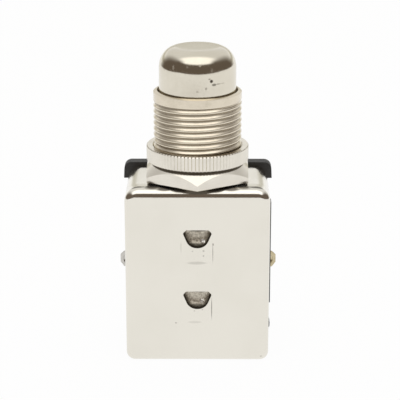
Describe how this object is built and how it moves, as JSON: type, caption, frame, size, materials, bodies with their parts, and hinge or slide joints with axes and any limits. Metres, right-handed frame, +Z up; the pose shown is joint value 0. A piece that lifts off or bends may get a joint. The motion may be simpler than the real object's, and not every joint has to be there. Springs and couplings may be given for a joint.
{
  "type": "momentary push button switch",
  "caption": "Panel-mounted momentary push button: nickel-plated drawn case, threaded bushing with hex nut and knurled ring nut, sprung metal button, black terminal board with solder lugs.",
  "frame": {"origin": "on the bushing's axis, at the foot of the free thread, just above the ring nut", "axes": "+Z up along the button, -Y to the front wall with the lanced tongues, +X to the right seen from the front"},
  "size_m": [0.0226, 0.0179, 0.043],
  "materials": {
    "nickel_steel": "nickel plated, polished",
    "nickel_brass": "nickel plated, polished",
    "phenolic": "matt black laminate",
    "tinned_brass": "tinned, dull",
    "brass": "bare brass",
    "steel": "turned steel",
    "spring_steel": "bright wire",
    "silver": "silver contact"
  },
  "bodies": {
    "housing": {"case": "nickel_steel", "bushing": "nickel_brass", "hex_nut": "nickel_brass", "knurled_nut": "nickel_brass", "terminal_board": "phenolic", "left_lug": "tinned_brass", "right_lug": "brass", "return_spring": "spring_steel", "left_bracket": "brass", "right_bracket": "brass", "left_contact": "silver", "right_contact": "silver", "left_rivet": "tinned_brass", "right_rivet": "tinned_brass"},
    "plunger": {"button_cap": "nickel_brass", "plunger_stem": "steel", "retaining_clip": "spring_steel", "contact_carrier": "phenolic", "contact_bridge": "brass", "bridge_contacts": "silver", "contact_spring": "spring_steel", "bridge_washer": "steel"}
  },
  "joints": [
    {"name": "button_press", "type": "slide", "parent": "housing", "child": "plunger", "axis": [0, 0, -1], "range_m": [0, 0.0035], "stiffness_N_per_m": 600, "springref_m": -0.006, "deforming": ["return_spring"]}
  ]
}
